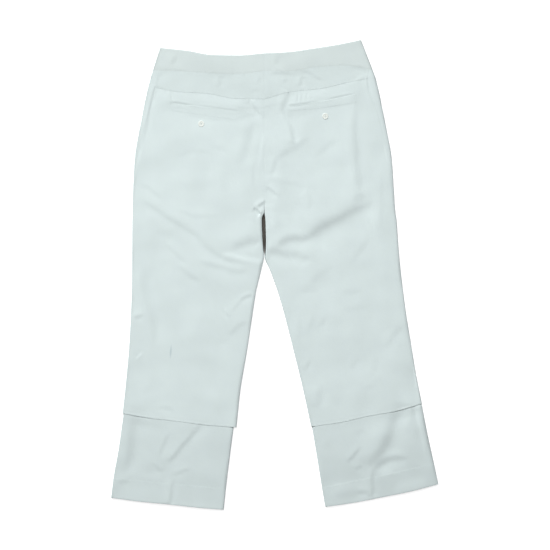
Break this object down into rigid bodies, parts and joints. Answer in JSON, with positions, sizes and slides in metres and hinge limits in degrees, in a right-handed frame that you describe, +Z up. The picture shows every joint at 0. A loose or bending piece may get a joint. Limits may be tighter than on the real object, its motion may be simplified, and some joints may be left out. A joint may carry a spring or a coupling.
{
  "type": "capri pants",
  "caption": "Cropped trousers laid flat with the back up: waistband, lapped yoke, welt pockets with buttons, and a lap below the knee.",
  "frame": {"origin": "on the resting face, under the middle of the laid-out outline", "axes": "+Y to the waist, +X across the garment to the right as it lies with its back up, +Z up out of the resting face"},
  "size_m": [0.6052, 0.869, 0.0074],
  "materials": {
    "twill": "white stretch cotton twill with a cool cast and a faint satin sheen",
    "waistband": "the same twill, doubled",
    "button": "semi-gloss off-white button resin"
  },
  "bodies": {
    "root": {"waistband_back_left": "waistband", "waistband_back_right": "waistband", "waistband_front_left": "waistband", "waistband_front_right": "waistband", "yoke_back_left": "twill", "yoke_back_right": "twill", "leg_back_left": "twill", "leg_back_right": "twill", "leg_front_left": "twill", "leg_front_right": "twill", "lower_back_left": "twill", "lower_back_right": "twill", "lower_front_left": "twill", "lower_front_right": "twill", "pocket_welt_left": "twill", "pocket_welt_right": "twill", "button_left": "button", "button_right": "button"}
  },
  "joints": []
}
